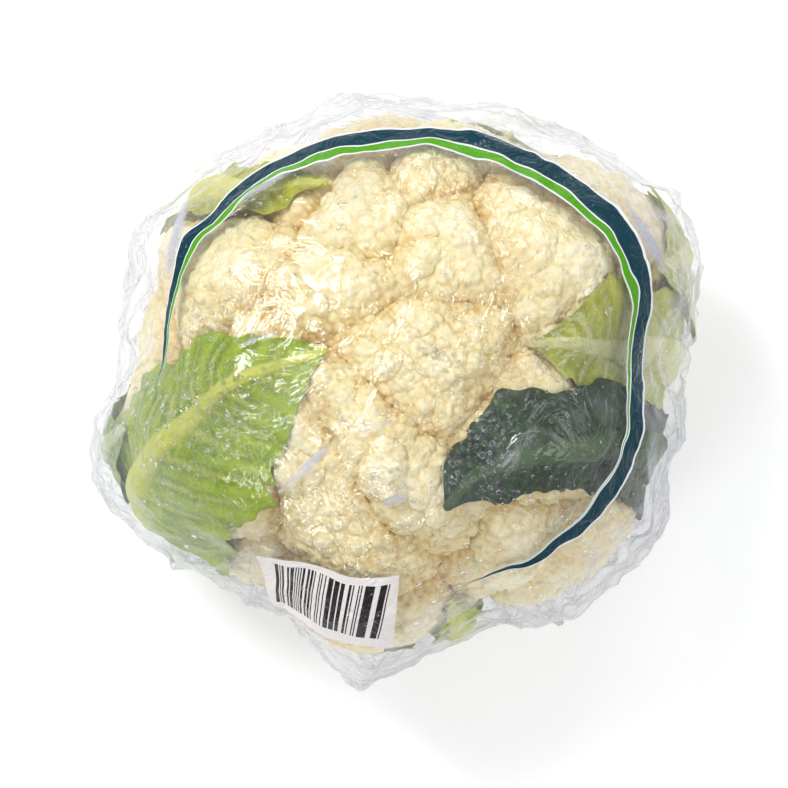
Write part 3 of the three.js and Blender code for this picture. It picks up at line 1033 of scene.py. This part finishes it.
def film_material():
    nodes = Nodes("film_clear_printed")
    laid_flat = nodes.add("SeparateXYZ", {0: nodes.attribute("print", vector=True)})
    x, y = laid_flat.outputs[0], laid_flat.outputs[1]
    slack = nodes.attribute("slack")

    white, green, dark = ring_print(nodes, x, y)
    panel, bars = panel_print(nodes, x, y)
    ink = nodes.mix(dark, nodes.mix(green, WHITE_INK, GREEN_INK), DARK_INK)
    ink = nodes.mix(bars, nodes.mix(panel, ink, PANEL_INK), BAR_INK)
    printed = nodes.math("MAXIMUM", white, panel)

    crinkle = nodes.noise(75, detail=4, rough=0.55, distortion=1.6)
    folds = nodes.math("ABSOLUTE", nodes.math("SUBTRACT", crinkle, 0.5))
    fine = nodes.noise(420, detail=3, distortion=0.8)
    relief = nodes.math("MULTIPLY_ADD", fine, 0.1, nodes.math("MULTIPLY", folds, -3.0))
    normal = nodes.bump(relief, 0.0016, nodes.math("MULTIPLY_ADD", slack, 0.65, 0.35))
    facing = nodes.add("LayerWeight", {"Blend": 0.5, "Normal": normal}).outputs["Facing"]

    clear = nodes.add("BsdfTransparent").outputs[0]
    milk_and_glare = nodes.add("BsdfDiffuse", {"Color": MILK_AND_GLARE, "Normal": normal}).outputs[0]
    through = nodes.add("BsdfTranslucent", {"Color": MILK_AND_GLARE_THROUGH, "Normal": normal}).outputs[0]
    milk_and_glare = nodes.add("MixShader", {0: 0.5, 1: milk_and_glare, 2: through}).outputs[0]
    film = nodes.add("MixShader", {0: film_haze_and_painted_glare(nodes, slack, facing), 1: clear, 2: milk_and_glare}).outputs[0]
    paint = nodes.add("BsdfDiffuse", {"Color": ink, "Normal": normal}).outputs[0]
    film = nodes.add("MixShader", {0: printed, 1: film, 2: paint}).outputs[0]
    gloss = {"Color": (1, 1, 1, 1), "Roughness": 0.07, "Normal": normal}
    shine = nodes.add("BsdfGlossy", gloss).outputs[0]
    share = nodes.math("MULTIPLY_ADD", nodes.math("POWER", facing, 5.0), 0.6, 0.028)
    return nodes.finish(nodes.add("MixShader", {0: share, 1: film, 2: shine}).outputs[0])


def creased(plan):
    """How far the film's straight creases lift it, for points on plan, and how much painted white glare
    lies along them there.
    """
    draw = np.random.default_rng(23)
    lines = list(CREASES)
    for _ in range(STRAY_CREASES):
        start = direction([draw.uniform(0, 360)], [90])[0, :2] * draw.uniform(8, 72)
        run = direction([draw.uniform(0, 360)], [90])[0, :2] * draw.uniform(7, 26)
        lines.append((start, start + run, draw.uniform(0.12, 0.55), draw.uniform(1.3, 2.4)))
    lift, white = np.zeros((2, len(plan)))
    for start, end, height, width in lines:
        start, run = np.array(start, float), np.subtract(end, start)
        along = np.clip(((plan - start) @ run) / (run @ run), 0, 1)
        off = np.linalg.norm(plan - start - along[:, None] * run, axis=1)
        rise = height * np.sin(math.pi * (0.08 + 0.84 * along))
        lift += rise * np.exp(-((off / width) ** 2))
        taper = width * (0.35 + 0.65 * along)
        # The painted glare: white along each ridge where it rises above the threshold.
        white = np.maximum(white, (rise - CREASE_GLARE_FROM) * np.exp(-((off / taper * 1.7) ** 2)))
    return lift, white


def pleated(azimuth, angle):
    """The pleats that the gather under the head sends up its sides, in mm."""
    draw = np.random.default_rng(29)
    by_gather = smooth(angle, 1.75, 2.1)
    lift = np.zeros(len(angle))
    for k in range(PLEATS):
        at = (k + draw.uniform(-0.35, 0.35)) / PLEATS * 2 * math.pi
        drift, height = draw.normal(0, PLEAT_DRIFT), draw.uniform(*PLEAT_HEIGHT)
        start, width = draw.uniform(*PLEAT_START), draw.uniform(*PLEAT_WIDTH)
        gap = (azimuth - at - drift * (math.pi - angle) + math.pi) % (2 * math.pi) - math.pi
        ridge = np.maximum(0, 1 - np.abs(gap) / width)
        deep = height + draw.uniform(0.5, 1.5) * GATHER_DEPTH * by_gather
        lift += deep * ridge * smooth(angle, start, start + 0.6)
    return lift - VALLEY_DEPTH * smooth(angle, 1.85, 2.2)


def crumpled(ways, size, seed):
    """Sharp crests with hollows between them, of 0 to 1, as in crumpled film."""
    return np.maximum(0, 1 - 2.2 * np.abs(waves(ways * FOLD_REACH, size, seed)))


def drape(ways, edges, angle, loose):
    """How far out the film is in each direction, how slack it is and how much painted white glare its
    creases carry.
    """
    filled = swollen(reach(tree_of(*joined(laid)), ways), edges, rounds=1)
    hull = bmesh.new()
    for point in HEART + ways * filled[:, None]:
        hull.verts.new(point)
    bmesh.ops.convex_hull(hull, input=hull.verts)
    taut = reach(BVHTree.FromBMesh(hull), ways)
    hull.free()
    slack = relaxed(reach(cad_tree("film_wrap"), ways), edges, rounds=3)
    share = smooth(angle, TAUT_TO, SLACK_FROM)
    out = relaxed(np.maximum(filled, taut * (1 - share) + slack * share), edges, rounds=2)

    lift, white = creased((ways * out[:, None])[:, :2])
    upper = smooth(math.pi - angle, 1.4, 1.9)
    ripple = waves(ways * FOLD_REACH, 17, 31) * 1.1 + crumpled(ways, 16, CRUMPLE_SEED) * 1.5
    ripple = RUMPLE * (ripple + crumpled(ways, 9, 33) * 0.8)
    azimuth = np.arctan2(ways[:, 1], ways[:, 0])
    out = out + lift * upper + pleated(azimuth, angle) + (ripple - 0.9) * loose
    out = np.minimum(np.maximum(out, filled + FILM_CLEARANCE), above_floor(ways, HEART_HEIGHT))
    return out, smooth(out - filled, 1.0, 14.0), white * upper


def crown_path():
    """Angles from the crown, and how far along the film each one is from its middle, in mm."""
    steps = np.linspace(0.03, HOLE_ANGLE - 0.03, 60)
    film = cad_tree("film_wrap")
    degrees = np.degrees(steps)
    level = np.mean([reach(film, direction(np.full(60, a), degrees)) for a in range(0, 360, 10)], 0)
    line = np.stack([level * np.sin(steps), level * np.cos(steps)], 1)
    run = np.cumsum(np.linalg.norm(np.diff(line, axis=0), axis=1))
    return steps, line[0, 0] + np.concatenate([[0], run])


def laid_flat(ways, angle, loose, path):
    """Where each point of the film was when it lay flat, with its folds drawing the print in."""
    drawn_in = waves(ways * FOLD_REACH, 11, 34) * 0.9 + waves(ways * FOLD_REACH, 5, 35) * 0.35
    far = np.interp(angle, *path) + crumpled(ways, 16, CRUMPLE_SEED) * 2.2 * loose
    far = far + drawn_in * smooth(angle, 0.6, 0.95)
    azimuth = np.arctan2(ways[:, 1], ways[:, 0])
    return np.stack([far * np.cos(azimuth), far * np.sin(azimuth), np.zeros(len(far))], 1)


def rim_of(faces):
    """The edges that only one triangle has, in its own direction."""
    given = np.concatenate([faces[:, [0, 1]], faces[:, [1, 2]], faces[:, [2, 0]]])
    _, back, times = np.unique(np.sort(given, 1), axis=0, return_inverse=True, return_counts=True)
    return given[times[back.ravel()] == 1]


def make_film():
    ways, faces = geodesic(FILM_STEPS)
    angle = np.arccos(np.clip(ways[:, 2], -1, 1))
    loose = smooth(angle, *LOOSE_BELOW) * smooth(math.pi - angle, 0.3, 0.9)
    out, slack, white = drape(ways, edges_of(faces), angle, loose)
    path = crown_path()
    flat = laid_flat(ways, angle, loose, path)

    used, faces = np.unique(faces[(angle[faces] < HOLE_ANGLE).all(1)], return_inverse=True)
    faces = faces.reshape(-1, 3)
    ways, out, count = ways[used], out[used][:, None], len(used)
    points = np.concatenate([HEART + ways * out, HEART + ways * (out - FILM_THICKNESS)])
    rim = rim_of(faces)
    skins = np.concatenate([
        faces,
        faces[:, ::-1] + count,
        np.stack([rim[:, 1], rim[:, 0], rim[:, 0] + count], 1),
        np.stack([rim[:, 1], rim[:, 0] + count, rim[:, 1] + count], 1),
    ])
    marks = {
        "print": np.tile(flat[used], (2, 1)),
        "slack": np.tile(slack[used], 2),
        # The third mark is the painted white glare along the creases.
        "crease_glare": np.tile(white[used], 2),
    }
    obj = new_object("film_sheet", points, skins, film_material(), marks)
    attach(obj, "root")
    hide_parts("film_wrap")
    return points[:count], faces


film_points, film_faces = make_film()


# ---- Droplets: condensation that hangs inside the film ----
DROPLETS = 2450
DROPLET_FLATNESS = 0.55
DROPLET_SMALLEST, DROPLET_SPREAD, DROPLET_RARITY = 0.2, 0.62, 4.0  # large ones are rare
DROPLET_GAP = 0.02
SCATTER_RADIUS = 72
LEAST_UPRIGHT = 0.3  # drops hang only where the film faces up by this or more

# Where the droplets gather, as (x, y, spread, share of them) in mm on plan.
DROPLET_SWARMS = [
    (-48, -16, 9, 0.16),
    (-36, 2, 10, 0.08),
    (20, -22, 9, 0.16),
    (16, 2, 10, 0.10),
    (34, 2, 9, 0.08),
    (10, -52, 12, 0.08),
    (-8, -34, 8, 0.06),
    (40, -42, 9, 0.05),
]


def droplet_material():
    nodes = Nodes("droplet_water")
    glass = nodes.add("BsdfGlass", {"Color": (1, 1, 1, 1), "Roughness": 0.03, "IOR": 1.33}).outputs[0]
    return nodes.finish(glass)


def droplet_spots(draw):
    """Places on plan, in mm from the heart: most in swarms and the rest all over."""
    spots = [
        draw.normal((x, y), spread, (int(share * DROPLETS), 2)) for x, y, spread, share in DROPLET_SWARMS
    ]
    rest = int((1 - sum(share for *_, share in DROPLET_SWARMS)) * DROPLETS)
    far = SCATTER_RADIUS * np.sqrt(draw.uniform(0, 1, rest))
    turn = draw.uniform(0, 2 * math.pi, rest)
    return np.concatenate([*spots, np.stack([far * np.cos(turn), far * np.sin(turn)], 1)])


def make_droplets():
    ball = bmesh.new()
    bmesh.ops.create_icosphere(ball, subdivisions=2, radius=1)
    shape = np.array([v.co[:] for v in ball.verts])
    shape_faces = np.array([[v.index for v in f.verts] for f in ball.faces])
    ball.free()

    draw = np.random.default_rng(37)
    film = tree_of(film_points, film_faces)
    points, faces = [], []
    for spot in droplet_spots(draw):
        above = Vector((*(HEART[:2] + spot), OUTSIDE))
        place, normal, _, _ = film.ray_cast(above, Vector((0, 0, -1)))
        if place is None or normal.z < LEAST_UPRIGHT:
            continue
        size = DROPLET_SMALLEST + DROPLET_SPREAD * draw.uniform() ** DROPLET_RARITY
        up = np.array(normal)
        side = unit(np.cross(up, [0.3, 0.9, 0.1]))
        axes = np.stack([side, np.cross(up, side), up * DROPLET_FLATNESS]) * size
        centre = np.array(place) - up * (size * DROPLET_FLATNESS + FILM_THICKNESS + DROPLET_GAP)
        faces.append(shape_faces + len(points) * len(shape))
        points.append(centre + shape @ axes)
    obj = new_object("droplets", np.concatenate(points), np.concatenate(faces), droplet_material())
    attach(obj, "root")


make_droplets()
